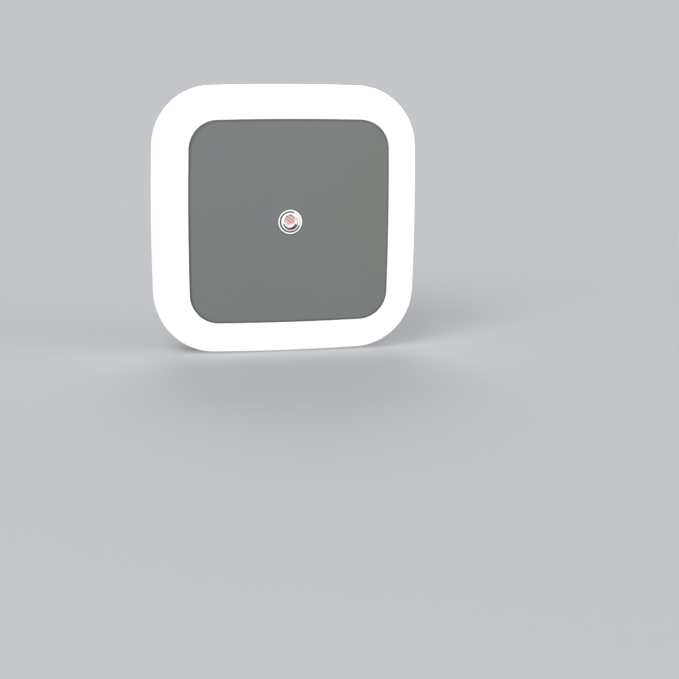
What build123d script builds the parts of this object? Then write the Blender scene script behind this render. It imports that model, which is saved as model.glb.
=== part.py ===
from build123d import *
import os
from math import cos, radians, sin, sqrt, tan

# Plug-in night light: a square translucent ring that glows round an opaque panel with a photocell.
#
# Millimetres. The origin is on the plug face, midway between the blades. +Z is up, the front faces
# -Y (the room) and the blades point along +Y (into the outlet). A depth is a distance from the plug
# face towards the room, so depth d is the plane y = -d.

# --- Overall form -------------------------------------------------------------------------------
BODY_SIDE = 68.0                # across the widest section of the square body
BODY_CORNER_RADIUS = 15.5
BODY_CROWN = 0.9                # how far the middle of each side stands proud of its ends
BODY_RISE = 7.0                 # centre of the square above the line of the blades
FRONT_DEPTH = 20.0              # plug face to the front of the panel
BACK_DEPTH = 3.5                # plug face to the flat back round the plug boss

# --- Walls and clearances -----------------------------------------------------------------------
HOUSING_WALL = 1.8
DIFFUSER_WALL = 1.8
PLUG_WALL = 2.0                 # wall that the blades pass through
FIT_CLEARANCE = 0.15            # each side, between mouldings that slide together
METAL_CLEARANCE = 0.05          # each side, round blades, screws and other metal
COMPONENT_CLEARANCE = 0.5       # between the tallest component and the back wall

# --- Blades -------------------------------------------------------------------------------------
BLADE_PITCH = 12.7
BLADE_WIDTH = 6.35
BLADE_THICKNESS = 1.52
BLADE_LENGTH = 17.5             # plug face to tip
BLADE_HOLE_DIAMETER = 3.2
BLADE_HOLE_REACH = 11.9         # plug face to the centre of the hole
BLADE_TIP_CHAMFER = 0.45        # taken off each face at the tip
BLADE_TIP_TAPER = 1.3           # length of that chamfer along the blade
BLADE_TIP_RADIUS = 1.2
SHOULDER_WIDTH = 9.0
SHOULDER_HEIGHT = 3.0
TAIL_WIDTH = 4.0
TAIL_HEIGHT = 4.0
TAIL_HOLE_DIAMETER = 1.0
TAIL_HOLE_INSET = 1.1           # end of the tail to the centre of the wire hole

# --- Blade retainer and plug boss ---------------------------------------------------------------
RETAINER_THICKNESS = 1.6
RETAINER_WIDTH = 11.0
RETAINER_CHAMFER = 1.5
RETAINER_END = 3.0              # beyond the centre of each screw
RETAINER_SCREW_OFFSET = 7.15    # each screw outside the blade beside it
BOSS_HEIGHT = 26.0
BOSS_CORNER_RADIUS = 8.0
BOSS_CHAMFER = 0.6
BOSS_ROOM = 0.7                 # round the retainer, inside the boss
SEAT_WALL = 1.4                 # round each blade's shoulder
SEAT_WEB = 3.0                  # web that ties the seats and the screw posts together

# --- Screws -------------------------------------------------------------------------------------
SCREW_DIAMETER = 2.0
SCREW_HEAD_DIAMETER = 3.8
SCREW_HEAD_HEIGHT = 1.4
SCREW_SLOT_SHARE = 0.6          # of the head's width, along each arm of its cross slot
SCREW_HOLE_CLEARANCE = 0.2      # each side, in the plate that the screw clamps
BOARD_SCREW_LENGTH = 6.0
RETAINER_SCREW_LENGTH = 4.4
PILOT_EXTRA = 0.5               # pilot hole beyond the tip of the screw
POST_DIAMETER = 5.0

# --- Rear housing -------------------------------------------------------------------------------
BACK_EDGE_RADIUS = 3.5
BACK_EDGE_BANDS = 3             # conical bands that stand for the rounded edge round the back
PARTING_STEP = 0.4              # housing set in from the diffuser at the parting line
PARTING_BELOW_BOARD = 2.3
LIP_LENGTH = 38.0               # along the middle of each side
LIP_THICKNESS = 1.2
LIP_HEIGHT = 2.5                # past the parting line
LIP_ROOT = 2.0                  # below the parting line, out into the housing's wall
SNAP_RADIUS = 0.8
SNAP_SINK = 0.35                # centre of the snap bead below the lip's face
SNAP_LENGTH = 12.0
SNAP_HEIGHT = 1.3               # above the parting line
RIB_THICKNESS = 1.0
RIB_HEIGHT = 2.7
POST_INSET = 9.1                # screw posts inside the edge of the board

# --- Diffuser -----------------------------------------------------------------------------------
SKIRT_DRAFT = 2.0               # degrees
RING_EDGE_RADIUS = 5.8
RING_EDGE_BANDS = 4             # conical bands that stand for the ring's rounded edge
INNER_CHAMFER = 2.0             # inside that edge and the housing's
FLOOR_THICKNESS = 1.4           # behind the panel
FLOOR_RIM = 1.5                 # round the pocket for the panel
COLLAR_WALL = 1.2
COLLAR_HEIGHT = 2.0

# --- Front panel --------------------------------------------------------------------------------
PANEL_SIDE = 51.2
PANEL_CORNER_RADIUS = 7.3
PANEL_CROWN = 0.4
PANEL_THICKNESS = 1.6
PANEL_PROUD = 0.3               # of the ring round it
PANEL_CHAMFER = 0.3
HOOK_ACROSS = 15.0              # hooks from the middle of the panel, across
HOOK_UP = 18.4                  # hooks from the middle of the panel, up and down
HOOK_WIDTH = 4.0
HOOK_THICKNESS = 1.2
HOOK_BARB = 0.6
HOOK_BARB_LAND = 0.3
HOOK_BARB_HEIGHT = 1.2
HOOK_PLAY = 0.05                # between the barb and the floor that it catches

# --- Photocell, its sleeve and lens -------------------------------------------------------------
PHOTOCELL_DIAMETER = 5.1
PHOTOCELL_FLATS = 4.3
PHOTOCELL_THICKNESS = 1.8
PHOTOCELL_SETBACK = 0.5         # behind the end of the lens
PHOTOCELL_TURN = -35.0          # degrees that the disc is turned about its axis
PHOTOCELL_LEAD_PITCH = 3.4
PHOTOCELL_LEAD_DIAMETER = 0.5
FILM_THICKNESS = 0.1            # electrodes and track on the face of the disc
FILM_MARGIN = 0.3               # bare ceramic round the film
COMB_RIM = 0.2                  # electrode outside the ends of the track's runs
TRACK_WIDTH = 0.35
TRACK_PITCH = 0.7
TRACK_RUNS = 5
SLEEVE_DIAMETER = 8.0
SLEEVE_LEDGE_DIAMETER = 4.2
SLEEVE_GAP = 0.2                # sleeve below the back of the panel
LENS_FLANGE_DIAMETER = 6.5
LENS_FLANGE_THICKNESS = 0.8
LENS_STEM_DIAMETER = 5.0
LENS_STEM_REACH = 0.3           # stem past the back of the panel
LENS_BOSS_RISE = 0.5            # bevelled boss in front of the flange
LENS_FACE_DIAMETER = 3.9        # flat face of that boss

# --- Circuit board and lamps --------------------------------------------------------------------
BOARD_THICKNESS = 1.2
BOARD_CLEARANCE = 0.6
LED_LENGTH = 3.5
LED_WIDTH = 2.8
LED_HEIGHT = 0.7
LED_INSET = 3.6                 # from the edge of the board
LED_SPREAD = 11.0               # each side of the middle of the board's edge
LED_CUP_RIM = 0.4
LED_CUP_DEPTH = 0.45
PHOSPHOR_CLEARANCE = 0.02

# --- Leads, solder and wires --------------------------------------------------------------------
SMALL_ROUND_SIDES = 6           # flats that stand for the round of a lead, wire, screw or joint
COMPONENT_ROUND_SIDES = 12      # flats that stand for the round of a component hidden inside
LEAD_DIAMETER = 0.6
LEAD_BEND = 0.8
LEAD_HOLE_CLEARANCE = 0.15
LEAD_REACH = 2.0                # from the end of a component to its hole
SOLDER_DIAMETER = 1.8
SOLDER_HEIGHT = 0.8
SOLDER_TAPER = 25.0             # degrees
FINE_SOLDER_DIAMETER = 1.15
WIRE_JACKET_DIAMETER = 1.4
WIRE_CORE_DIAMETER = 0.6
WIRE_BEND = 1.2
WIRE_SIDESTEP = 3.2             # from the blade out to the wire's rise
WIRE_RISE = 8.0                 # from the blade line up to the hole in the board

# --- Components, placed from the centre of the body: across, then up ----------------------------
DROPPER_ACROSS = -11.5
DROPPER_UP = 14.0
DROPPER_LENGTH = 13.0
DROPPER_WIDTH = 11.0
DROPPER_THICKNESS = 6.0
DROPPER_CHAMFER = 0.6
DROPPER_LEAD_PITCH = 10.0
FILTER_ACROSS = 10.5
FILTER_UP = 17.5
FILTER_DIAMETER = 5.0
FILTER_LENGTH = 11.0
FILTER_SLEEVE_WALL = 0.2
FILTER_SLEEVE_INSET = 0.5       # bare can beyond each end of the sleeve
FILTER_BUNG_THICKNESS = 1.2
FILTER_BUNG_STEP = 0.35         # bung inside the edge of the can
FILTER_LEAD_PITCH = 2.0
FUSE_ACROSS = 12.0
FUSE_UP = 9.5
FUSE_LENGTH = 9.0
FUSE_CAP_DIAMETER = 3.2
FUSE_WAIST_DIAMETER = 2.7
FUSE_CAP_LENGTH = 1.9
BRIDGE_ACROSS = 0.0
BRIDGE_UP = 10.0
BRIDGE_LENGTH = 4.7
BRIDGE_WIDTH = 3.9
BRIDGE_HEIGHT = 2.4
BRIDGE_STAND_OFF = 0.1
BRIDGE_PIN_PITCH = 2.54
BRIDGE_PIN_WIDTH = 0.65
BRIDGE_PIN_THICKNESS = 0.2
BRIDGE_PIN_REACH = 0.7
BRIDGE_PIN_FOOT = 0.8
ZENER_ACROSS = -12.0
ZENER_UP = -17.0
ZENER_LENGTH = 4.0
ZENER_DIAMETER = 1.9
TRANSISTOR_ACROSS = 9.0
TRANSISTOR_UP = -18.0
TRANSISTOR_DIAMETER = 4.6
TRANSISTOR_FLAT = 1.3           # from the axis to the flat face
TRANSISTOR_LENGTH = 4.4
TRANSISTOR_STAND_OFF = 1.2
TRANSISTOR_LEG_PITCH = 1.27
TRANSISTOR_LEG_SIDE = 0.45
CHIP_UP = -18.0
CHIP_LENGTH = 2.0
CHIP_WIDTH = 1.25
CHIP_HEIGHT = 0.5
CHIP_CAP_LENGTH = 0.35
CHIP_PITCH_ACROSS = 4.0
CHIP_PITCH_UP = 3.5

# --- Depths that follow -------------------------------------------------------------------------
RETAINER_BACK = PLUG_WALL + SHOULDER_HEIGHT
RETAINER_FRONT = RETAINER_BACK + RETAINER_THICKNESS
TAIL_END = RETAINER_BACK + TAIL_HEIGHT
TAIL_HOLE_DEPTH = TAIL_END - TAIL_HOLE_INSET
BACK_INNER = BACK_DEPTH + HOUSING_WALL
BOARD_BACK = BACK_INNER + COMPONENT_CLEARANCE + DROPPER_THICKNESS
BOARD_FRONT = BOARD_BACK + BOARD_THICKNESS
PARTING_DEPTH = BOARD_BACK - PARTING_BELOW_BOARD
PANEL_BACK = FRONT_DEPTH - PANEL_THICKNESS
RING_DEPTH = FRONT_DEPTH - PANEL_PROUD
FLOOR_BACK = PANEL_BACK - FLOOR_THICKNESS
WIDEST_DEPTH = RING_DEPTH - RING_EDGE_RADIUS
SLEEVE_FRONT = PANEL_BACK - SLEEVE_GAP
PHOTOCELL_FRONT = PANEL_BACK - LENS_STEM_REACH - PHOTOCELL_SETBACK
PHOTOCELL_BACK = PHOTOCELL_FRONT - PHOTOCELL_THICKNESS

# --- Widths that follow -------------------------------------------------------------------------
BLADE_OFFSET = BLADE_PITCH / 2
RETAINER_SCREW_ACROSS = BLADE_OFFSET + RETAINER_SCREW_OFFSET
RETAINER_LENGTH = 2 * (RETAINER_SCREW_ACROSS + RETAINER_END)
BOSS_WIDTH = RETAINER_LENGTH + 2 * (BOSS_ROOM + HOUSING_WALL)
SKIRT_SLOPE = (WIDEST_DEPTH - PARTING_DEPTH) * tan(radians(SKIRT_DRAFT))
SKIRT_SIDE = BODY_SIDE - 2 * SKIRT_SLOPE
HOUSING_SETBACK = SKIRT_SLOPE + PARTING_STEP
HOUSING_SIDE = BODY_SIDE - 2 * HOUSING_SETBACK
LIP_SIDE = SKIRT_SIDE - 2 * (DIFFUSER_WALL + FIT_CLEARANCE)
LIP_INNER_SIDE = LIP_SIDE - 2 * LIP_THICKNESS
BOARD_SIDE = LIP_INNER_SIDE - 2 * BOARD_CLEARANCE
POST_OFFSET = BOARD_SIDE / 2 - POST_INSET
LED_OFFSET = BOARD_SIDE / 2 - LED_INSET
POCKET_SIDE = PANEL_SIDE + 2 * FIT_CLEARANCE
SLEEVE_BORE = PHOTOCELL_DIAMETER + 2 * FIT_CLEARANCE
LENS_BORE = LENS_STEM_DIAMETER + 2 * METAL_CLEARANCE
SENSOR_HOLE = SLEEVE_DIAMETER + 2 * FIT_CLEARANCE
PILOT_DIAMETER = SCREW_DIAMETER + 2 * METAL_CLEARANCE
SCREW_HOLE_DIAMETER = SCREW_DIAMETER + 2 * SCREW_HOLE_CLEARANCE
WIRE_ACROSS = BLADE_OFFSET + WIRE_SIDESTEP


# --- Planes that face the room, so their local z is a depth -------------------------------------
def plug_plane(depth):
    """A plane at a depth, centred on the blade line."""
    return Plane(origin=(0, -depth, 0), x_dir=(1, 0, 0), z_dir=(0, -1, 0))


def body_plane(depth):
    """A plane at a depth, centred on the square body."""
    return Plane(origin=(0, -depth, BODY_RISE), x_dir=(1, 0, 0), z_dir=(0, -1, 0))


def photocell_plane(depth):
    """A plane at a depth, centred on the photocell and turned with it."""
    turn = radians(PHOTOCELL_TURN)
    return Plane(origin=(0, -depth, BODY_RISE), x_dir=(cos(turn), 0, sin(turn)), z_dir=(0, -1, 0))


def both_sides(across, up):
    """Two spots, mirrored about the middle."""
    return [(-across, up), (across, up)]


# --- Where leads pass through the board, from the centre of the body ----------------------------
DROPPER_SPOTS = [
    (DROPPER_ACROSS + side * DROPPER_LEAD_PITCH / 2, DROPPER_UP - DROPPER_WIDTH / 2 - LEAD_REACH)
    for side in (-1, 1)
]
FILTER_SPOTS = [
    (FILTER_ACROSS - FILTER_LENGTH / 2 - LEAD_REACH, FILTER_UP + side * FILTER_LEAD_PITCH / 2)
    for side in (-1, 1)
]
FUSE_SPOTS = [(FUSE_ACROSS + side * (FUSE_LENGTH / 2 + LEAD_REACH), FUSE_UP) for side in (-1, 1)]
ZENER_SPOTS = [(ZENER_ACROSS + side * (ZENER_LENGTH / 2 + LEAD_REACH), ZENER_UP) for side in (-1, 1)]
WIRE_SPOTS = both_sides(WIRE_ACROSS, WIRE_RISE - BODY_RISE)
TRANSISTOR_SPOTS = [
    (TRANSISTOR_ACROSS + step * TRANSISTOR_LEG_PITCH, TRANSISTOR_UP) for step in (-1, 0, 1)
]
PHOTOCELL_SPOTS = [
    (
        side * PHOTOCELL_LEAD_PITCH / 2 * cos(radians(PHOTOCELL_TURN)),
        side * PHOTOCELL_LEAD_PITCH / 2 * sin(radians(PHOTOCELL_TURN)),
    )
    for side in (-1, 1)
]
ROUND_LEAD_SPOTS = DROPPER_SPOTS + FILTER_SPOTS + FUSE_SPOTS + ZENER_SPOTS + WIRE_SPOTS


# --- Shapes used more than once -----------------------------------------------------------------
class CrownedSquare(BaseSketchObject):
    """A square with rounded corners whose sides bow gently outwards."""

    def __init__(self, side, corner_radius, crown, mode=Mode.ADD):
        half = side / 2
        corner = half - crown
        with BuildSketch() as outline:
            with BuildLine():
                ThreePointArc((-corner, -corner), (0, -half), (corner, -corner))
                ThreePointArc((corner, -corner), (half, 0), (corner, corner))
                ThreePointArc((corner, corner), (0, half), (-corner, corner))
                ThreePointArc((-corner, corner), (-half, 0), (-corner, -corner))
            make_face()
            fillet(outline.vertices(), corner_radius)
        super().__init__(obj=outline.sketch, mode=mode)


class FlattedRound(BaseSketchObject):
    """A round section drawn with a few flats, which lie inside the circle."""

    def __init__(self, diameter, sides=SMALL_ROUND_SIDES, mode=Mode.ADD):
        with BuildSketch() as outline:
            RegularPolygon(diameter / 2, sides)
        super().__init__(obj=outline.sketch, mode=mode)


class FlattedHole(BaseSketchObject):
    """A round opening drawn with a few flats, which touch the circle from outside."""

    def __init__(self, diameter, sides=SMALL_ROUND_SIDES, mode=Mode.SUBTRACT):
        with BuildSketch() as outline:
            RegularPolygon(diameter / 2, sides, major_radius=False)
        super().__init__(obj=outline.sketch, mode=mode)


class HexHeadScrew(BasePartObject):
    """A screw with a cross slot in its hexagonal head, standing on the local XY plane."""

    def __init__(self, length, mode=Mode.ADD):
        slot_width = SCREW_HEAD_DIAMETER / 6
        slot_length = SCREW_HEAD_DIAMETER * SCREW_SLOT_SHARE
        with BuildPart() as screw:
            with BuildSketch():
                FlattedRound(SCREW_HEAD_DIAMETER)
            extrude(amount=SCREW_HEAD_HEIGHT)
            with BuildSketch(Plane.XY.offset(SCREW_HEAD_HEIGHT / 2)):
                Rectangle(slot_length, slot_width)
                Rectangle(slot_width, slot_length)
            extrude(amount=SCREW_HEAD_HEIGHT, mode=Mode.SUBTRACT)
            with BuildSketch():
                FlattedRound(SCREW_DIAMETER)
            extrude(amount=-length)
        super().__init__(part=screw.part, mode=mode)


class BentWire(BasePartObject):
    """A thin wire along straight runs with eased corners, or a tube where it has a bore."""

    def __init__(self, *points, diameter, bend, bore=0.0, mode=Mode.ADD):
        start, *corners, end = [Vector(point) for point in points]
        route = [start]
        for before, corner, after in zip([start, *corners], corners, [*corners[1:], end]):
            route.append(corner + (before - corner).normalized() * bend)
            route.append(corner + (after - corner).normalized() * bend)
        route.append(end)
        with BuildPart() as wire:
            with BuildLine() as path:
                Polyline(*route)
            with BuildSketch(Plane(origin=start, z_dir=path.line % 0)):
                FlattedRound(diameter)
                if bore > 0:
                    FlattedHole(bore)
            sweep(transition=Transition.RIGHT)
        super().__init__(part=wire.part, mode=mode)


class SolderCap(BasePartObject):
    """A solder fillet over the end of a lead, standing on the local XY plane."""

    def __init__(self, diameter, mode=Mode.ADD):
        with BuildPart() as cap:
            with BuildSketch():
                FlattedRound(diameter)
            extrude(amount=SOLDER_HEIGHT, taper=SOLDER_TAPER)
        super().__init__(part=cap.part, mode=mode)


def rounded_edge(radius, bands):
    """Steps along and in from the start of a quarter round, drawn with straight bands."""
    angles = [radians(90) * band / bands for band in range(bands + 1)]
    return [(radius * sin(angle), radius * (1 - cos(angle))) for angle in angles]


def crowned_form(outlines):
    """A solid with straight bands between crowned squares, from each one's depth and setback."""
    with BuildPart() as form:
        for band in zip(outlines, outlines[1:]):
            for depth, setback in band:
                with BuildSketch(body_plane(depth)):
                    CrownedSquare(
                        BODY_SIDE - 2 * setback, BODY_CORNER_RADIUS - setback, BODY_CROWN
                    )
            loft(ruled=True)
    return form.part


# --- Rear housing: shell, plug boss, blade seats, board posts and snap lip ----------------------
housing_shell = crowned_form(
    [(PARTING_DEPTH, HOUSING_SETBACK)]
    + [
        (BACK_DEPTH + BACK_EDGE_RADIUS - back, HOUSING_SETBACK + inward)
        for back, inward in rounded_edge(BACK_EDGE_RADIUS, BACK_EDGE_BANDS)
    ]
)
housing_space = crowned_form(
    [
        (PARTING_DEPTH, HOUSING_SETBACK + HOUSING_WALL),
        (BACK_INNER + INNER_CHAMFER, HOUSING_SETBACK + HOUSING_WALL),
        (BACK_INNER, HOUSING_SETBACK + HOUSING_WALL + INNER_CHAMFER),
    ]
)

with BuildPart() as housing_cavity:
    add(housing_space)
    with BuildSketch(body_plane(BACK_INNER)) as post_ribs:
        with Locations((POST_OFFSET, POST_OFFSET)):
            Rectangle(HOUSING_SIDE / 2, RIB_THICKNESS, align=(Align.MIN, Align.CENTER))
            Rectangle(RIB_THICKNESS, HOUSING_SIDE / 2, align=(Align.CENTER, Align.MIN))
        mirror(about=Plane.YZ)
        mirror(about=Plane.XZ)
    extrude(amount=RIB_HEIGHT, mode=Mode.SUBTRACT)

with BuildPart() as rear_housing:
    add(housing_shell)
    with BuildSketch(plug_plane(0)):
        RectangleRounded(BOSS_WIDTH, BOSS_HEIGHT, BOSS_CORNER_RADIUS)
    extrude(amount=BACK_DEPTH)
    plug_face = rear_housing.faces().sort_by(Axis.Y)[-1]
    chamfer(plug_face.edges(), BOSS_CHAMFER)
    add(housing_cavity.part, mode=Mode.SUBTRACT)
    with BuildSketch(plug_plane(PLUG_WALL)):
        RectangleRounded(
            BOSS_WIDTH - 2 * HOUSING_WALL,
            BOSS_HEIGHT - 2 * HOUSING_WALL,
            BOSS_CORNER_RADIUS - HOUSING_WALL,
        )
    extrude(amount=BACK_INNER - PLUG_WALL, mode=Mode.SUBTRACT)
    with BuildSketch(plug_plane(PLUG_WALL)):
        Rectangle(2 * RETAINER_SCREW_ACROSS, SEAT_WEB)
        with Locations(*both_sides(BLADE_OFFSET, 0)):
            Rectangle(BLADE_THICKNESS + 2 * SEAT_WALL, SHOULDER_WIDTH + 2 * SEAT_WALL)
        with Locations(*both_sides(RETAINER_SCREW_ACROSS, 0)):
            FlattedRound(POST_DIAMETER)
    extrude(amount=RETAINER_BACK - PLUG_WALL)
    with BuildSketch(plug_plane(PLUG_WALL)):
        with Locations(*both_sides(BLADE_OFFSET, 0)):
            Rectangle(BLADE_THICKNESS + 2 * METAL_CLEARANCE, SHOULDER_WIDTH + 2 * METAL_CLEARANCE)
    extrude(amount=SHOULDER_HEIGHT, mode=Mode.SUBTRACT)
    with BuildSketch(plug_plane(0)):
        with Locations(*both_sides(BLADE_OFFSET, 0)):
            Rectangle(BLADE_THICKNESS + 2 * METAL_CLEARANCE, BLADE_WIDTH + 2 * METAL_CLEARANCE)
    extrude(amount=PLUG_WALL, mode=Mode.SUBTRACT)
    with BuildSketch(plug_plane(RETAINER_BACK)):
        with Locations(*both_sides(RETAINER_SCREW_ACROSS, 0)):
            FlattedHole(PILOT_DIAMETER, mode=Mode.ADD)
    extrude(
        amount=-(RETAINER_SCREW_LENGTH - RETAINER_THICKNESS + PILOT_EXTRA),
        mode=Mode.SUBTRACT,
    )
    for start, height, outer_side in (
        (PARTING_DEPTH - LIP_ROOT, LIP_ROOT, HOUSING_SIDE - HOUSING_WALL),
        (PARTING_DEPTH, LIP_HEIGHT, LIP_SIDE),
    ):
        with BuildSketch(body_plane(start)):
            CrownedSquare(outer_side, BODY_CORNER_RADIUS - (BODY_SIDE - outer_side) / 2, BODY_CROWN)
            CrownedSquare(
                LIP_INNER_SIDE,
                BODY_CORNER_RADIUS - (BODY_SIDE - LIP_INNER_SIDE) / 2,
                BODY_CROWN,
                mode=Mode.SUBTRACT,
            )
            with GridLocations(BODY_SIDE, BODY_SIDE, 2, 2):
                Rectangle(BODY_SIDE - LIP_LENGTH, BODY_SIDE - LIP_LENGTH, mode=Mode.SUBTRACT)
        extrude(amount=height)
    with Locations(body_plane(PARTING_DEPTH + SNAP_HEIGHT)):
        with PolarLocations(LIP_SIDE / 2 - SNAP_SINK, 4):
            Cylinder(SNAP_RADIUS, SNAP_LENGTH, rotation=(90, 0, 0))
    with BuildSketch(body_plane(BACK_DEPTH + HOUSING_WALL / 2)):
        with GridLocations(2 * POST_OFFSET, 2 * POST_OFFSET, 2, 2):
            FlattedRound(POST_DIAMETER)
    extrude(amount=BOARD_BACK - BACK_DEPTH - HOUSING_WALL / 2)
    with BuildSketch(body_plane(BOARD_BACK)):
        with GridLocations(2 * POST_OFFSET, 2 * POST_OFFSET, 2, 2):
            FlattedHole(PILOT_DIAMETER, mode=Mode.ADD)
    extrude(
        amount=-(BOARD_SCREW_LENGTH - BOARD_THICKNESS + PILOT_EXTRA),
        mode=Mode.SUBTRACT,
    )


# --- Diffuser: ring, skirt, panel pocket, hook slots and sensor collar --------------------------
diffuser_shell = crowned_form(
    [(PARTING_DEPTH, SKIRT_SLOPE)]
    + [
        (WIDEST_DEPTH + forward, inward)
        for forward, inward in rounded_edge(RING_EDGE_RADIUS, RING_EDGE_BANDS)
    ]
)
diffuser_space = crowned_form(
    [
        (PARTING_DEPTH, SKIRT_SLOPE + DIFFUSER_WALL),
        (RING_DEPTH - DIFFUSER_WALL - INNER_CHAMFER, DIFFUSER_WALL),
        (RING_DEPTH - DIFFUSER_WALL, DIFFUSER_WALL + INNER_CHAMFER),
    ]
)

with BuildPart() as diffuser:
    add(diffuser_shell)
    add(diffuser_space, mode=Mode.SUBTRACT)
    with BuildSketch(body_plane(FLOOR_BACK)):
        CrownedSquare(POCKET_SIDE + 2 * FLOOR_RIM, PANEL_CORNER_RADIUS + FLOOR_RIM, PANEL_CROWN)
    extrude(amount=RING_DEPTH - FLOOR_BACK)
    with BuildSketch(body_plane(PANEL_BACK)):
        CrownedSquare(POCKET_SIDE, PANEL_CORNER_RADIUS + FIT_CLEARANCE, PANEL_CROWN)
    extrude(amount=PANEL_THICKNESS, mode=Mode.SUBTRACT)
    with BuildSketch(body_plane(FLOOR_BACK)):
        FlattedRound(SENSOR_HOLE + 2 * COLLAR_WALL, COMPONENT_ROUND_SIDES)
    extrude(amount=-COLLAR_HEIGHT)
    with BuildSketch(body_plane(FLOOR_BACK - COLLAR_HEIGHT)):
        FlattedHole(SENSOR_HOLE, COMPONENT_ROUND_SIDES, mode=Mode.ADD)
    extrude(amount=FLOOR_THICKNESS + COLLAR_HEIGHT, mode=Mode.SUBTRACT)
    with BuildSketch(body_plane(FLOOR_BACK)):
        with GridLocations(2 * HOOK_ACROSS, 2 * HOOK_UP + HOOK_THICKNESS + HOOK_BARB, 2, 2):
            Rectangle(
                HOOK_WIDTH + 2 * FIT_CLEARANCE,
                HOOK_THICKNESS + HOOK_BARB + 2 * FIT_CLEARANCE,
            )
    extrude(amount=FLOOR_THICKNESS, mode=Mode.SUBTRACT)
    with Locations(body_plane(PARTING_DEPTH + SNAP_HEIGHT)):
        with PolarLocations(LIP_SIDE / 2 - SNAP_SINK, 4):
            Cylinder(
                SNAP_RADIUS + FIT_CLEARANCE,
                SNAP_LENGTH + 2 * FIT_CLEARANCE,
                rotation=(90, 0, 0),
                mode=Mode.SUBTRACT,
            )


# --- Front panel: plate with a stepped bore for the lens and four snap hooks --------------------
HOOK_PLANES = [
    Plane(
        origin=(side * HOOK_ACROSS, -PANEL_BACK, BODY_RISE + end * HOOK_UP),
        x_dir=(0, 0, end),
        z_dir=(-end, 0, 0),
    )
    for side in (-1, 1)
    for end in (-1, 1)
]
HOOK_CATCH = FLOOR_THICKNESS + HOOK_PLAY
HOOK_REACH = HOOK_CATCH + HOOK_BARB_HEIGHT

with BuildPart() as front_panel:
    with BuildSketch(body_plane(PANEL_BACK)):
        CrownedSquare(PANEL_SIDE, PANEL_CORNER_RADIUS, PANEL_CROWN)
    extrude(amount=PANEL_THICKNESS)
    panel_front = front_panel.faces().sort_by(Axis.Y)[0]
    chamfer(panel_front.edges(), PANEL_CHAMFER)
    with Locations(body_plane(FRONT_DEPTH)):
        CounterBoreHole(
            radius=LENS_BORE / 2,
            counter_bore_radius=LENS_FLANGE_DIAMETER / 2 + METAL_CLEARANCE,
            counter_bore_depth=LENS_FLANGE_THICKNESS,
            depth=PANEL_THICKNESS,
        )
    with BuildSketch(*HOOK_PLANES):
        Polygon(
            (0, 0),
            (HOOK_THICKNESS, 0),
            (HOOK_THICKNESS, HOOK_CATCH),
            (HOOK_THICKNESS + HOOK_BARB, HOOK_CATCH),
            (HOOK_THICKNESS + HOOK_BARB, HOOK_CATCH + HOOK_BARB_LAND),
            (HOOK_THICKNESS / 2, HOOK_REACH),
            (0, HOOK_REACH),
            align=None,
        )
    extrude(amount=HOOK_WIDTH / 2, both=True)


# --- Sensor lens: turned from clear plastic -----------------------------------------------------
with BuildPart() as sensor_lens:
    with BuildSketch(body_plane(FRONT_DEPTH)):
        Circle(LENS_FLANGE_DIAMETER / 2)
    extrude(amount=-LENS_FLANGE_THICKNESS)
    flange_front = sensor_lens.faces().sort_by(Axis.Y)[0]
    chamfer(flange_front.edges(), LENS_FLANGE_THICKNESS / 4)
    with BuildSketch(body_plane(FRONT_DEPTH - LENS_FLANGE_THICKNESS)):
        Circle(LENS_STEM_DIAMETER / 2)
    extrude(amount=-(PANEL_THICKNESS - LENS_FLANGE_THICKNESS + LENS_STEM_REACH))
    with BuildSketch(body_plane(FRONT_DEPTH)):
        Circle(LENS_STEM_DIAMETER / 2)
    with BuildSketch(body_plane(FRONT_DEPTH + LENS_BOSS_RISE)):
        Circle(LENS_FACE_DIAMETER / 2)
    loft()


# --- Photocell: flatted ceramic disc, comb electrodes, serpentine track and leads ---------------
FILM_RADIUS = PHOTOCELL_DIAMETER / 2 - FILM_MARGIN
TRACK_RADIUS = FILM_RADIUS - COMB_RIM - TRACK_WIDTH / 2
TRACK_LEVELS = [((TRACK_RUNS - 1) / 2 - run) * TRACK_PITCH for run in range(TRACK_RUNS)]


def track_reach(level, next_level):
    """How far across a run may go before it turns to the next one, inside the comb's rim."""
    return sqrt(TRACK_RADIUS**2 - max(abs(level), abs(next_level)) ** 2)


with BuildPart() as photocell_disc:
    with BuildSketch(photocell_plane(PHOTOCELL_BACK)):
        Circle(PHOTOCELL_DIAMETER / 2)
        Rectangle(PHOTOCELL_DIAMETER, PHOTOCELL_FLATS, mode=Mode.INTERSECT)
    extrude(amount=PHOTOCELL_THICKNESS)

with BuildSketch(photocell_plane(PHOTOCELL_FRONT)) as track_outline:
    with BuildLine():
        track_points = [(-FILM_RADIUS, TRACK_LEVELS[0])]
        direction = 1
        for level, next_level in zip(TRACK_LEVELS, TRACK_LEVELS[1:]):
            turn_across = direction * track_reach(level, next_level)
            track_points += [(turn_across, level), (turn_across, next_level)]
            direction = -direction
        track_points.append((direction * FILM_RADIUS, TRACK_LEVELS[-1]))
        Polyline(*track_points)
    trace(line_width=TRACK_WIDTH)
    Circle(FILM_RADIUS, mode=Mode.INTERSECT)

with BuildPart() as photocell_track:
    extrude(track_outline.sketch, amount=FILM_THICKNESS)

with BuildPart() as photocell_electrodes:
    with BuildSketch(photocell_plane(PHOTOCELL_FRONT)):
        Circle(FILM_RADIUS)
        Rectangle(PHOTOCELL_DIAMETER, PHOTOCELL_FLATS - FILM_MARGIN, mode=Mode.INTERSECT)
        add(track_outline.sketch_local, mode=Mode.SUBTRACT)
    extrude(amount=FILM_THICKNESS)

with BuildPart() as photocell_leads:
    with BuildSketch(body_plane(PHOTOCELL_BACK)):
        with Locations(*PHOTOCELL_SPOTS):
            FlattedRound(PHOTOCELL_LEAD_DIAMETER)
    extrude(amount=-(PHOTOCELL_BACK - BOARD_BACK))


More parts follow.
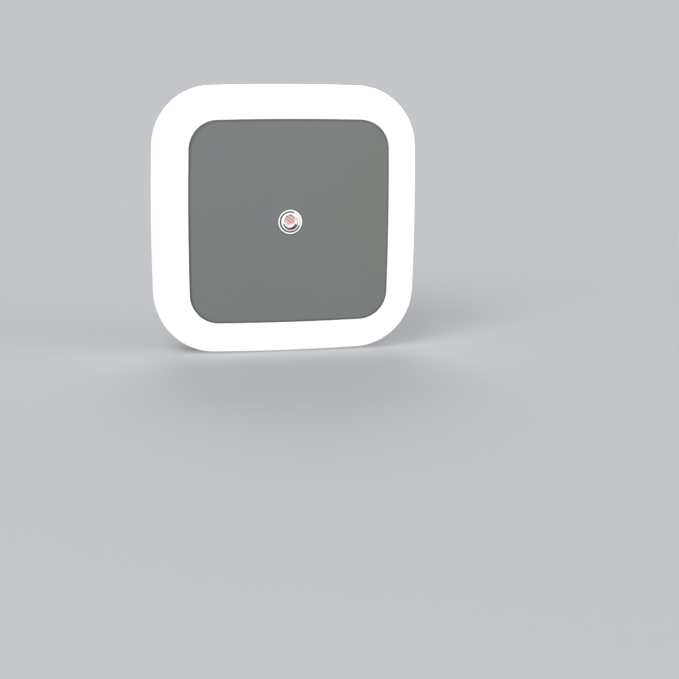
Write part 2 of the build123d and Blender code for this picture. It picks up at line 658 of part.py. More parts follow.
# --- Sensor sleeve: black tube that shades the photocell from the lamps -------------------------
with BuildPart() as sensor_sleeve:
    with BuildSketch(body_plane(BOARD_FRONT)):
        FlattedRound(SLEEVE_DIAMETER, COMPONENT_ROUND_SIDES)
        FlattedRound(SLEEVE_LEDGE_DIAMETER, COMPONENT_ROUND_SIDES, mode=Mode.SUBTRACT)
    extrude(amount=SLEEVE_FRONT - BOARD_FRONT)
    with BuildSketch(body_plane(PHOTOCELL_BACK)):
        FlattedHole(SLEEVE_BORE, COMPONENT_ROUND_SIDES, mode=Mode.ADD)
    extrude(amount=SLEEVE_FRONT - PHOTOCELL_BACK, mode=Mode.SUBTRACT)


# --- Plug blades and the plate that holds them --------------------------------------------------
def plug_blade(across):
    """A flat blade with a chamfered tip, a detent hole, shoulders and a tail with a wire hole."""
    with BuildPart() as blade:
        with BuildSketch(Plane(origin=(across, 0, 0), x_dir=(0, 1, 0), z_dir=(1, 0, 0))):
            with Locations((-PLUG_WALL, 0)):
                Rectangle(BLADE_LENGTH + PLUG_WALL, BLADE_WIDTH, align=(Align.MIN, Align.CENTER))
                Rectangle(SHOULDER_HEIGHT, SHOULDER_WIDTH, align=(Align.MAX, Align.CENTER))
            with Locations((-RETAINER_BACK, 0)):
                Rectangle(TAIL_HEIGHT, TAIL_WIDTH, align=(Align.MAX, Align.CENTER))
            with Locations((BLADE_HOLE_REACH, 0)):
                Circle(BLADE_HOLE_DIAMETER / 2, mode=Mode.SUBTRACT)
            with Locations((-TAIL_HOLE_DEPTH, 0)):
                FlattedHole(TAIL_HOLE_DIAMETER)
        extrude(amount=BLADE_THICKNESS / 2, both=True)
        tip = blade.faces().sort_by(Axis.Y)[-1]
        chamfer(tip.edges().filter_by(Axis.Z), BLADE_TIP_CHAMFER, BLADE_TIP_TAPER, reference=tip)
        corners = blade.edges().filter_by(Axis.X).group_by(Axis.Y)[-1]
        fillet(corners, BLADE_TIP_RADIUS)
    return blade


neutral_blade = plug_blade(-BLADE_OFFSET)
live_blade = plug_blade(BLADE_OFFSET)

with BuildPart() as blade_retainer:
    with BuildSketch(plug_plane(RETAINER_BACK)) as retainer_outline:
        Rectangle(RETAINER_LENGTH, RETAINER_WIDTH)
        chamfer(retainer_outline.vertices(), RETAINER_CHAMFER)
        with Locations(*both_sides(BLADE_OFFSET, 0)):
            Rectangle(
                BLADE_THICKNESS + 2 * METAL_CLEARANCE,
                TAIL_WIDTH + 2 * METAL_CLEARANCE,
                mode=Mode.SUBTRACT,
            )
        with Locations(*both_sides(RETAINER_SCREW_ACROSS, 0)):
            FlattedHole(SCREW_HOLE_DIAMETER)
    extrude(amount=RETAINER_THICKNESS)


# --- Screws -------------------------------------------------------------------------------------
with BuildPart() as retainer_screws:
    with Locations(plug_plane(RETAINER_FRONT)):
        with Locations(*both_sides(RETAINER_SCREW_ACROSS, 0)):
            HexHeadScrew(RETAINER_SCREW_LENGTH)

with BuildPart() as board_screws:
    with Locations(body_plane(BOARD_FRONT)):
        with GridLocations(2 * POST_OFFSET, 2 * POST_OFFSET, 2, 2):
            HexHeadScrew(BOARD_SCREW_LENGTH)


# --- Circuit board ------------------------------------------------------------------------------
with BuildPart() as led_board:
    with BuildSketch(body_plane(BOARD_BACK)):
        RectangleRounded(
            BOARD_SIDE, BOARD_SIDE, BODY_CORNER_RADIUS - (BODY_SIDE - BOARD_SIDE) / 2
        )
        with GridLocations(2 * POST_OFFSET, 2 * POST_OFFSET, 2, 2):
            FlattedHole(SCREW_HOLE_DIAMETER)
        with Locations(*ROUND_LEAD_SPOTS, *PHOTOCELL_SPOTS):
            FlattedHole(LEAD_DIAMETER + 2 * LEAD_HOLE_CLEARANCE)
        with Locations(*TRANSISTOR_SPOTS):
            FlattedHole(TRANSISTOR_LEG_SIDE + 2 * LEAD_HOLE_CLEARANCE)
    extrude(amount=BOARD_THICKNESS)


# --- Lamps: two along each edge of the board, each with a cup of phosphor -----------------------
with BuildPart() as led_packages:
    with BuildSketch(body_plane(BOARD_FRONT)):
        with PolarLocations(LED_OFFSET, 4):
            with Locations((0, -LED_SPREAD), (0, LED_SPREAD)):
                Rectangle(LED_WIDTH, LED_LENGTH)
    extrude(amount=LED_HEIGHT)
    with BuildSketch(body_plane(BOARD_FRONT + LED_HEIGHT - LED_CUP_DEPTH)):
        with PolarLocations(LED_OFFSET, 4):
            with Locations((0, -LED_SPREAD), (0, LED_SPREAD)):
                Rectangle(LED_WIDTH - 2 * LED_CUP_RIM, LED_LENGTH - 2 * LED_CUP_RIM)
    extrude(amount=LED_CUP_DEPTH, mode=Mode.SUBTRACT)

with BuildPart() as led_phosphors:
    with BuildSketch(body_plane(BOARD_FRONT + LED_HEIGHT - LED_CUP_DEPTH)):
        with PolarLocations(LED_OFFSET, 4):
            with Locations((0, -LED_SPREAD), (0, LED_SPREAD)):
                Rectangle(
                    LED_WIDTH - 2 * (LED_CUP_RIM + PHOSPHOR_CLEARANCE),
                    LED_LENGTH - 2 * (LED_CUP_RIM + PHOSPHOR_CLEARANCE),
                )
    extrude(amount=LED_CUP_DEPTH)


# --- Dropper capacitor, lying on the back of the board ------------------------------------------
DROPPER_AXIS_DEPTH = BOARD_BACK - DROPPER_THICKNESS / 2

with BuildPart() as dropper_capacitor:
    with BuildSketch(body_plane(BOARD_BACK)):
        with Locations((DROPPER_ACROSS, DROPPER_UP)):
            Rectangle(DROPPER_LENGTH, DROPPER_WIDTH)
    extrude(amount=-DROPPER_THICKNESS)
    chamfer(dropper_capacitor.edges(), DROPPER_CHAMFER)

with BuildPart() as dropper_leads:
    with Locations(body_plane(0)):
        for across, up in DROPPER_SPOTS:
            BentWire(
                (across, up + LEAD_REACH, DROPPER_AXIS_DEPTH),
                (across, up, DROPPER_AXIS_DEPTH),
                (across, up, BOARD_FRONT),
                diameter=LEAD_DIAMETER,
                bend=LEAD_BEND,
            )


# --- Filter capacitor: can, printed sleeve, rubber bung and leads, lying along the board --------
FILTER_AXIS_DEPTH = BOARD_BACK - FILTER_DIAMETER / 2 - FIT_CLEARANCE
FILTER_CAN_DIAMETER = FILTER_DIAMETER - 2 * FILTER_SLEEVE_WALL
FILTER_BASE = FILTER_ACROSS - FILTER_LENGTH / 2


def filter_section(along):
    """A plane across the filter capacitor, facing the end that its leads leave."""
    return Plane(
        origin=(FILTER_BASE + along, -FILTER_AXIS_DEPTH, BODY_RISE + FILTER_UP),
        x_dir=(0, 0, 1),
        z_dir=(-1, 0, 0),
    )


with BuildPart() as filter_capacitor_can:
    with BuildSketch(filter_section(FILTER_BUNG_THICKNESS)):
        FlattedRound(FILTER_CAN_DIAMETER, COMPONENT_ROUND_SIDES)
    extrude(amount=-(FILTER_LENGTH - FILTER_BUNG_THICKNESS))

with BuildPart() as filter_capacitor_sleeve:
    with BuildSketch(filter_section(FILTER_BUNG_THICKNESS + FILTER_SLEEVE_INSET)):
        FlattedRound(FILTER_DIAMETER, COMPONENT_ROUND_SIDES)
        FlattedRound(FILTER_CAN_DIAMETER, COMPONENT_ROUND_SIDES, mode=Mode.SUBTRACT)
    extrude(amount=-(FILTER_LENGTH - FILTER_BUNG_THICKNESS - 2 * FILTER_SLEEVE_INSET))

with BuildPart() as filter_capacitor_bung:
    with BuildSketch(filter_section(FILTER_BUNG_THICKNESS)):
        FlattedRound(FILTER_CAN_DIAMETER - 2 * FILTER_BUNG_STEP, COMPONENT_ROUND_SIDES)
        with Locations((-FILTER_LEAD_PITCH / 2, 0), (FILTER_LEAD_PITCH / 2, 0)):
            FlattedHole(LEAD_DIAMETER + 2 * METAL_CLEARANCE)
    extrude(amount=FILTER_BUNG_THICKNESS)

with BuildPart() as filter_capacitor_leads:
    with Locations(body_plane(0)):
        for across, up in FILTER_SPOTS:
            BentWire(
                (FILTER_BASE + FILTER_BUNG_THICKNESS, up, FILTER_AXIS_DEPTH),
                (across, up, FILTER_AXIS_DEPTH),
                (across, up, BOARD_FRONT),
                diameter=LEAD_DIAMETER,
                bend=LEAD_BEND,
            )


# --- Axial components: fusible resistor and zener diode -----------------------------------------
def axial_body(across, up, axis_depth, stretches):
    """A body along the board, from stretches that each have a start, an end and a diameter."""
    with BuildPart() as body:
        for start, end, diameter in stretches:
            section = Plane(
                origin=(across + start, -axis_depth, BODY_RISE + up),
                x_dir=(0, 0, 1),
                z_dir=(1, 0, 0),
            )
            with BuildSketch(section):
                FlattedRound(diameter, COMPONENT_ROUND_SIDES)
            extrude(amount=end - start)
    return body


def axial_leads(across, up, axis_depth, body_length, spots):
    """Two leads from the ends of an axial body, bent into the board."""
    with BuildPart() as leads:
        with Locations(body_plane(0)):
            for side, (spot_across, spot_up) in zip((-1, 1), spots):
                BentWire(
                    (across + side * body_length / 2, up, axis_depth),
                    (spot_across, spot_up, axis_depth),
                    (spot_across, spot_up, BOARD_FRONT),
                    diameter=LEAD_DIAMETER,
                    bend=LEAD_BEND,
                )
    return leads


FUSE_AXIS_DEPTH = BOARD_BACK - FUSE_CAP_DIAMETER / 2 - FIT_CLEARANCE
FUSE_WAIST_END = FUSE_LENGTH / 2 - FUSE_CAP_LENGTH
FUSE_STRETCHES = [
    (-FUSE_LENGTH / 2, -FUSE_WAIST_END, FUSE_CAP_DIAMETER),
    (-FUSE_WAIST_END, FUSE_WAIST_END, FUSE_WAIST_DIAMETER),
    (FUSE_WAIST_END, FUSE_LENGTH / 2, FUSE_CAP_DIAMETER),
]
fusible_resistor = axial_body(FUSE_ACROSS, FUSE_UP, FUSE_AXIS_DEPTH, FUSE_STRETCHES)
fusible_resistor_leads = axial_leads(
    FUSE_ACROSS, FUSE_UP, FUSE_AXIS_DEPTH, FUSE_LENGTH, FUSE_SPOTS
)

ZENER_AXIS_DEPTH = BOARD_BACK - ZENER_DIAMETER / 2 - FIT_CLEARANCE
ZENER_STRETCHES = [(-ZENER_LENGTH / 2, ZENER_LENGTH / 2, ZENER_DIAMETER)]
zener_diode = axial_body(ZENER_ACROSS, ZENER_UP, ZENER_AXIS_DEPTH, ZENER_STRETCHES)
zener_diode_leads = axial_leads(
    ZENER_ACROSS, ZENER_UP, ZENER_AXIS_DEPTH, ZENER_LENGTH, ZENER_SPOTS
)


# --- Bridge rectifier with gull-wing pins -------------------------------------------------------
BRIDGE_TOP = BOARD_BACK - BRIDGE_STAND_OFF
PIN_LEVEL = BRIDGE_TOP - BRIDGE_HEIGHT / 2
PIN_KNEE = BRIDGE_WIDTH / 2 + BRIDGE_PIN_REACH

with BuildPart() as bridge_rectifier:
    with BuildSketch(body_plane(BRIDGE_TOP)):
        with Locations((BRIDGE_ACROSS, BRIDGE_UP)):
            Rectangle(BRIDGE_LENGTH, BRIDGE_WIDTH)
    extrude(amount=-BRIDGE_HEIGHT)
    rectifier_back = bridge_rectifier.faces().sort_by(Axis.Y)[-1]
    chamfer(rectifier_back.edges(), BRIDGE_HEIGHT / 6)

with BuildPart() as rectifier_pins:
    for side in (-1, 1):
        for step in (-0.5, 0.5):
            pin_plane = Plane(
                origin=(BRIDGE_ACROSS + step * BRIDGE_PIN_PITCH, 0, BODY_RISE + BRIDGE_UP),
                x_dir=(0, 0, side),
                z_dir=(side, 0, 0),
            )
            with BuildSketch(pin_plane):
                with Locations((BRIDGE_WIDTH / 2, PIN_LEVEL)):
                    Rectangle(
                        BRIDGE_PIN_REACH,
                        BRIDGE_PIN_THICKNESS,
                        align=(Align.MIN, Align.MIN),
                    )
                with Locations((PIN_KNEE, PIN_LEVEL)):
                    Rectangle(
                        BRIDGE_PIN_THICKNESS,
                        BOARD_BACK - PIN_LEVEL,
                        align=(Align.MIN, Align.MIN),
                    )
                with Locations((PIN_KNEE, BOARD_BACK)):
                    Rectangle(
                        BRIDGE_PIN_FOOT,
                        BRIDGE_PIN_THICKNESS,
                        align=(Align.MIN, Align.MAX),
                    )
            extrude(amount=BRIDGE_PIN_WIDTH / 2, both=True)


# --- Transistor, standing on its legs -----------------------------------------------------------
TRANSISTOR_BASE = BOARD_BACK - TRANSISTOR_STAND_OFF

with BuildPart() as transistor:
    with BuildSketch(body_plane(TRANSISTOR_BASE)):
        with Locations((TRANSISTOR_ACROSS, TRANSISTOR_UP)):
            Circle(TRANSISTOR_DIAMETER / 2)
        with Locations((TRANSISTOR_ACROSS, TRANSISTOR_UP - TRANSISTOR_FLAT)):
            Rectangle(
                TRANSISTOR_DIAMETER,
                TRANSISTOR_DIAMETER,
                align=(Align.CENTER, Align.MIN),
                mode=Mode.INTERSECT,
            )
    extrude(amount=-TRANSISTOR_LENGTH)

with BuildPart() as transistor_legs:
    with BuildSketch(body_plane(TRANSISTOR_BASE)):
        with Locations(*TRANSISTOR_SPOTS):
            Rectangle(TRANSISTOR_LEG_SIDE, TRANSISTOR_LEG_SIDE)
    extrude(amount=BOARD_FRONT - TRANSISTOR_BASE)


# --- Chip resistors and their end caps ----------------------------------------------------------
with BuildPart() as chip_resistors:
    with BuildSketch(body_plane(BOARD_BACK)):
        with Locations((0, CHIP_UP)):
            with GridLocations(CHIP_PITCH_ACROSS, CHIP_PITCH_UP, 2, 2):
                Rectangle(CHIP_LENGTH - 2 * CHIP_CAP_LENGTH, CHIP_WIDTH)
    extrude(amount=-CHIP_HEIGHT)

with BuildPart() as chip_resistor_caps:
    with BuildSketch(body_plane(BOARD_BACK)):
        with Locations((0, CHIP_UP)):
            with GridLocations(CHIP_PITCH_ACROSS, CHIP_PITCH_UP, 2, 2):
                with GridLocations(CHIP_LENGTH - CHIP_CAP_LENGTH, 0, 2, 1):
                    Rectangle(CHIP_CAP_LENGTH, CHIP_WIDTH)
    extrude(amount=-CHIP_HEIGHT)


# --- Wires from the blades' tails to the board --------------------------------------------------
def wire_core(side):
    """Bare conductor: through the blade's tail, up beside it and through the board."""
    with BuildPart() as core:
        with Locations(plug_plane(0)):
            BentWire(
                (side * (BLADE_OFFSET - BLADE_THICKNESS / 2), 0, TAIL_HOLE_DEPTH),
                (side * WIRE_ACROSS, 0, TAIL_HOLE_DEPTH),
                (side * WIRE_ACROSS, WIRE_RISE, TAIL_HOLE_DEPTH),
                (side * WIRE_ACROSS, WIRE_RISE, BOARD_FRONT),
                diameter=WIRE_CORE_DIAMETER,
                bend=WIRE_BEND,
            )
    return core


def wire_jacket(side):
    """Insulation over a core, from the face of the blade's tail to the back of the board."""
    with BuildPart() as jacket:
        with Locations(plug_plane(0)):
            BentWire(
                (side * (BLADE_OFFSET + BLADE_THICKNESS / 2), 0, TAIL_HOLE_DEPTH),
                (side * WIRE_ACROSS, 0, TAIL_HOLE_DEPTH),
                (side * WIRE_ACROSS, WIRE_RISE, TAIL_HOLE_DEPTH),
                (side * WIRE_ACROSS, WIRE_RISE, BOARD_BACK),
                diameter=WIRE_JACKET_DIAMETER,
                bore=WIRE_CORE_DIAMETER + 2 * METAL_CLEARANCE,
                bend=WIRE_BEND,
            )
    return jacket


neutral_wire_core = wire_core(-1)
live_wire_core = wire_core(1)
neutral_wire_jacket = wire_jacket(-1)
live_wire_jacket = wire_jacket(1)


# --- Solder joints on the board and on the blades' tails ----------------------------------------
with BuildPart() as solder_joints:
    with Locations(body_plane(BOARD_FRONT)):
        with Locations(*ROUND_LEAD_SPOTS):
            SolderCap(SOLDER_DIAMETER)
        with Locations(*TRANSISTOR_SPOTS):
            SolderCap(FINE_SOLDER_DIAMETER)
    for across, up in PHOTOCELL_SPOTS:
        back_of_board = Plane(
            origin=(across, -BOARD_BACK, BODY_RISE + up), x_dir=(1, 0, 0), z_dir=(0, 1, 0)
        )
        with Locations(back_of_board):
            SolderCap(SOLDER_DIAMETER)
    for side in (-1, 1):
        tail_face = Plane(
            origin=(side * (BLADE_OFFSET - BLADE_THICKNESS / 2), -TAIL_HOLE_DEPTH, 0),
            x_dir=(0, 1, 0),
            z_dir=(-side, 0, 0),
        )
        with Locations(tail_face):
            SolderCap(SOLDER_DIAMETER)


# --- Label and write every piece ----------------------------------------------------------------
PIECES = {
    "rear_housing": rear_housing,
    "diffuser": diffuser,
    "front_panel": front_panel,
    "sensor_lens": sensor_lens,
    "sensor_sleeve": sensor_sleeve,
    "photocell_disc": photocell_disc,
    "photocell_electrodes": photocell_electrodes,
    "photocell_track": photocell_track,
    "photocell_leads": photocell_leads,
    "neutral_blade": neutral_blade,
    "live_blade": live_blade,
    "blade_retainer": blade_retainer,
    "retainer_screws": retainer_screws,
    "board_screws": board_screws,
    "led_board": led_board,
    "led_packages": led_packages,
    "led_phosphors": led_phosphors,
    "dropper_capacitor": dropper_capacitor,
    "dropper_leads": dropper_leads,
    "filter_capacitor_can": filter_capacitor_can,
    "filter_capacitor_sleeve": filter_capacitor_sleeve,
    "filter_capacitor_bung": filter_capacitor_bung,
    "filter_capacitor_leads": filter_capacitor_leads,
    "fusible_resistor": fusible_resistor,
    "fusible_resistor_leads": fusible_resistor_leads,
    "zener_diode": zener_diode,
    "zener_diode_leads": zener_diode_leads,
    "bridge_rectifier": bridge_rectifier,
    "rectifier_pins": rectifier_pins,
    "transistor": transistor,
    "transistor_legs": transistor_legs,
    "chip_resistors": chip_resistors,
    "chip_resistor_caps": chip_resistor_caps,
    "neutral_wire_core": neutral_wire_core,
    "live_wire_core": live_wire_core,
    "neutral_wire_jacket": neutral_wire_jacket,
    "live_wire_jacket": live_wire_jacket,
    "solder_joints": solder_joints,
}

os.makedirs("parts", exist_ok=True)
for name, piece in PIECES.items():
    piece.part.label = name
    export_step(piece.part, f"parts/{name}.step")
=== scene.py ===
"""Looks of the plug-in night light: a glowing ring round a white panel, painted grey for the shade it lies
in, with a photocell in its middle.

Lengths are in metres unless a comment says otherwise, in the CAD model's frame: the light faces -Y,
its blades point along +Y, and Z is up.
"""

import math

import bmesh
import bpy
from mathutils import Matrix, Vector


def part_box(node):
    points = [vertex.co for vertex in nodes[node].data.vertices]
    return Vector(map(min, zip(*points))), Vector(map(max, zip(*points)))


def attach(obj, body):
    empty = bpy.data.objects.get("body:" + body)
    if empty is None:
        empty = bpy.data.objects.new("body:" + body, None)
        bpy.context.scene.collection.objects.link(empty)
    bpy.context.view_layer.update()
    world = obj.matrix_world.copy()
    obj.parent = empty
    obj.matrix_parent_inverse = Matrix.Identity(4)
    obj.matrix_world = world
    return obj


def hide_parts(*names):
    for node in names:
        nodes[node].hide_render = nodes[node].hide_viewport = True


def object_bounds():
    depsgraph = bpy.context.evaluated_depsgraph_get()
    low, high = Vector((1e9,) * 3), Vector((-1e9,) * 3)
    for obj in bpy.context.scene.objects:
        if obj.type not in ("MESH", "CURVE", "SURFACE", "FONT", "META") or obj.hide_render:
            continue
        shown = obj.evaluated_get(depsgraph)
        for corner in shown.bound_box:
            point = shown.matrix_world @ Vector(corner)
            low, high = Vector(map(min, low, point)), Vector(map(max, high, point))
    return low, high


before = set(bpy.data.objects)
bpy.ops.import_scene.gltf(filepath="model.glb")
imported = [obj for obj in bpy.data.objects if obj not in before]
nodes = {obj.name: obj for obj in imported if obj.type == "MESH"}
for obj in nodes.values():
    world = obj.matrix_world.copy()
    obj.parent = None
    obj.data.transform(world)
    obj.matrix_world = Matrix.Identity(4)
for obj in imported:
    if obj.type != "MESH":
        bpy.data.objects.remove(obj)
cad_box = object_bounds()
MM = 0.001

# --- Photograph's camera, found from the outlines of the panel and the ring ----------------------
IMAGE_SIDE = 679
FOCAL_PIXELS = 1501.8
SENSOR_WIDTH = 36.0             # millimetres, as Blender takes it
CAMERA_PLACE = Vector((-75.95, -388.57, 52.41)) * MM
CAMERA_YAW = math.radians(13.578)
CAMERA_PITCH = math.radians(-11.34)
CAMERA_ROLL = math.radians(0.635)
CLIP_NEAR = 10 * MM
CLIP_FAR = 50.0                 # metres

# --- Colours, as sRGB bytes ----------------------------------------------------------------------
# The panel is white plastic; both greys are painted shade, the second a little warmer
PANEL_SHADED_GREY = (122, 126, 125)
PANEL_SHADED_WARM = (122, 126, 121)
HOUSING_WHITE = (226, 226, 222)
DIFFUSER_MILK = (240, 240, 238)
GLOW_WHITE = (255, 254, 251)
# the ceramic's own cream, which is also the colour of the photocell's painted highlight
SENSOR_CREAM = (250, 236, 232)
ELECTRODE_PINK = (228, 188, 186)
TRACK_ROSE = (188, 134, 136)
# the lens's painted light, then its painted shade and dark reflection
LENS_LIT_WHITE = (246, 246, 246)
LENS_SHADE_DARK = (40, 28, 34)
LENS_ROSE = (150, 92, 100)
MASK_LOW = (214, 216, 208)
MASK_HIGH = (232, 233, 228)
SLEEVE_BLACK = (30, 30, 31)
RETAINER_CREAM = (214, 210, 198)
EPOXY_BLACK = (38, 38, 40)
LED_WHITE = (238, 238, 234)
PHOSPHOR_YELLOW = (236, 206, 92)
FILM_BROWN = (128, 60, 44)
CAN_NAVY = (34, 38, 52)
BUNG_BLACK = (34, 34, 34)
RESISTOR_GREEN = (122, 150, 138)
ZENER_AMBER = (190, 110, 66)
CHIP_BLACK = (44, 44, 48)
WIRE_WHITE = (226, 226, 222)
WIRE_BLACK = (32, 32, 33)
TIN_GREY = (200, 200, 198)
PLATING_GREY = (210, 206, 196)
ZINC_GREY = (184, 187, 192)
ALUMINIUM_GREY = (206, 208, 210)
SOLDER_GREY = (190, 192, 194)
COPPER_RED = (214, 142, 104)
FLOOR_GREY = (184, 186, 190)
BACKGROUND_GREY = (196, 198, 202)

# --- Noise: the scales of noises below are in lumps per metre ------------------------------------
NOISE_LOW = 0.3                 # most of a noise's values lie between these
NOISE_HIGH = 0.7

# --- Moulded plastic -----------------------------------------------------------------------------
FLOW_SCALE = 160
FLOW_TINT = 0.007               # share of the colour that a flow mark adds or takes away
GRAIN_SCALE = 9000
GRAIN_ROUGHNESS = 0.06          # the most that the grain adds or takes away
GRAIN_STRENGTH = 0.4
GRAIN_DEPTH = 0.01 * MM
COAT_ROUGHNESS = 0.12

# --- Drawn metal ---------------------------------------------------------------------------------
MARK_SCALE = 12000
MARK_SMOOTHER = 0.08            # the most that a mark takes from the roughness
MARK_ROUGHER = 0.1              # the most that a mark adds to it
MARK_STRENGTH = 0.35
MARK_DEPTH = 0.004 * MM
WEAR_SCALE = 350
WEAR_TINT = 0.06                # share of the colour that wear adds or takes away
BLADE_WEAR_TINT = 0.025         # the same, on the blades
ALONG_BLADE = (1, 0.03, 1)      # draws the marks out in Y
ALONG_LEAD = (1, 0.2, 1)        # the same, but less

# --- Glowing diffuser ----------------------------------------------------------------------------
RING_GLOW = 0.5
SEAM_GLOW = 0.28
EVEN_SHARE = 0.5                # of the depth, from the front, before the glow starts to fall
HAZE_SCALE = 45
HAZE_TINT = 0.02                # share of the glow that the haze adds or takes away
MILK_ROUGHNESS = (0.3, 0.42)
MILK_ROUGHNESS_SCALE = 7000
MILK_RELIEF_SCALE = 2500
MILK_STRENGTH = 0.2
MILK_DEPTH = 0.01 * MM
MILK_SCATTER = 0.2
MILK_SCATTER_LENGTH = 2 * MM

# --- Painted light and shade seen through and on the sensor lens ---------------------------------
LENS_OUTLINE = (3.05, 3.4)      # inner and outer radius in millimetres, as for the next three
LENS_GROOVE = (2.36, 2.7)
LENS_ARC = (1.62, 1.94)
LENS_SPECKS = (1.64, 1.94)
LENS_WINDOW = 1.9               # radius of the clear middle in millimetres
LENS_BLUR = 0.05                # of each mark's edge, in millimetres
OUTLINE_DARKNESS = 0.7
GROOVE_LIT_SIDE = (1, 0.42)     # a way across and up from the centre
GROOVE_SHADOW = (0.8, 0.66)     # cosines of the angle from that way, where the shadow starts and is full
GROOVE_DARKNESS = 0.3           # left on the lit side
ARC_SIDE = (-0.05, -1)
ARC_ENDS = (0.15, 0.5)          # cosines of the angle from its side, where a mark starts and is full; here the painted dark reflection
SPECK_SIDE = (-0.35, 1)
SPECK_ENDS = (0.8, 0.9)
SPECK_SCALE = 1500
SPECK_NOISE = (0.42, 0.56)      # noise values where a speck starts and is full
LENS_GLOW = 0.2
LENS_INDEX = 1.49
LENS_ROUGHNESS = (0.03, 0.08)
LENS_ROUGHNESS_SCALE = 900
LENS_RIPPLE_SCALE = 700
LENS_RIPPLE_STRENGTH = 0.08
LENS_RIPPLE_DEPTH = 0.02 * MM

# --- Photocell, lit through the lens -------------------------------------------------------------
PINK_PATCH = (0.1, 0.6)         # its pink patch's middle, in millimetres across and up from its centre
PINK_RADII = (1.2, 1.75)        # the pink washes out to cream between these, a painted highlight, in millimetres
BLOTCH_SCALE = 1300
BLOTCH_REACH = 0.35             # millimetres that a blotch moves the pink's edge, where the painted highlight starts, in or out
CERAMIC_SCALE = 6000
CERAMIC_TINT = (0.95, 1.03)     # factors of the colour
CERAMIC_STRENGTH = 0.3
CERAMIC_DEPTH = 0.01 * MM
CERAMIC_ROUGHNESS = (0.3, 0.5)
CERAMIC_ROUGHNESS_SCALE = 4000

# --- Front panel ---------------------------------------------------------------------------------
PANEL_CORNER = 7.3              # radius in millimetres
PANEL_BOW = 0.4                 # of each side, in millimetres
PANEL_RIM = (0.62, 0.4)         # millimetres in from the outline, where the rim's painted shade starts and is full
RIM_SHADE = 0.87                # factor of the grey, for the painted shade round the rim
# factor of the grey, for the painted shade on the bevelled edge
BEVEL_SHADE = 0.72
BEVEL_TURN = (-0.97, -0.85)     # Y of a face's normal, where the bevel's painted shade starts and is full
WARM_SHARE = 0.9                # of the half width, where the warmer grey is full
WARM_DRIFT = 6                  # millimetres that its edge wanders, either way
WARM_SCALE = 40
PANEL_ROUGHNESS = (0.48, 0.6)
PANEL_STRENGTH = 0.4
PANEL_DEPTH = 0.02 * MM

# --- Circuit board -------------------------------------------------------------------------------
WEAVE_SCALE = 900               # as the wave texture takes it
WEAVE_DISTORTION = 0.6
WEAVE_STRENGTH = 0.2
WEAVE_DEPTH = 0.006 * MM
MASK_ROUGHNESS = (0.28, 0.4)
MASK_SCALE = 3000

# --- Rounded edges of the two shells -------------------------------------------------------------
RING_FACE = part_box("diffuser")[0].y     # the diffuser's flat front
RING_RADIUS = 5.8 * MM
RING_STEPS = 14
BACK_FACE = -3.5 * MM                   # the housing's flat back, round the plug boss
BACK_RADIUS = 3.5 * MM
BACK_STEPS = 9
TO_FRONT = -1
TO_BACK = 1
SHARP_ANGLE = math.radians(60)          # ends the outer skin
SAME = 0.001 * MM                       # places nearer than this are one

# --- Small edge rounds and shading ---------------------------------------------------------------
EDGE_ROUNDS = {                 # widths
    "rear_housing": 0.12 * MM,
    "front_panel": 0.08 * MM,
    "live_blade": 0.08 * MM,
    "neutral_blade": 0.08 * MM,
}
EDGE_STEPS = 2
SMOOTH_ANGLE = math.radians(35)

# --- Floor, surroundings and lamps ---------------------------------------------------------------
FLOOR_HALF = 3.0
FLOOR_ROUGHNESS = 0.9
FADE_START = 0.12               # distances from the origin
FADE_END = 0.45
WORLD_STRENGTH = 0.45
LAMPS = {                       # place, size and power in watts
    "key": ((-0.5, -0.7, 0.7), 0.6, 6.5),
    "fill": ((0.7, -0.5, 0.35), 0.7, 2.5),
    "back": ((0.1, 0.8, 0.6), 0.7, 4.0),
}


# --- Small helpers -------------------------------------------------------------------------------
def linear(colour):
    """A colour in sRGB bytes as the linear RGBA that shaders take, by the sRGB standard's curve."""
    channels = [c / 255 for c in colour]
    rgb = [c / 12.92 if c <= 0.04045 else ((c + 0.055) / 1.055) ** 2.4 for c in channels]
    return (*rgb, 1.0)


def shade(colour, factor):
    """The colour made lighter or darker by a factor."""
    return tuple(min(255, c * factor) for c in colour)


def middle_of(node):
    """The middle of a CAD node's box."""
    low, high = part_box(node)
    return (low + high) / 2


def new_object(name, data):
    """An object in the scene with the given data."""
    thing = bpy.data.objects.new(name, data)
    bpy.context.scene.collection.objects.link(thing)
    return thing


def as_mesh(name, form):
    """Mesh data made from a form, which is used up."""
    mesh = bpy.data.meshes.new(name)
    form.to_mesh(mesh)
    form.free()
    return mesh


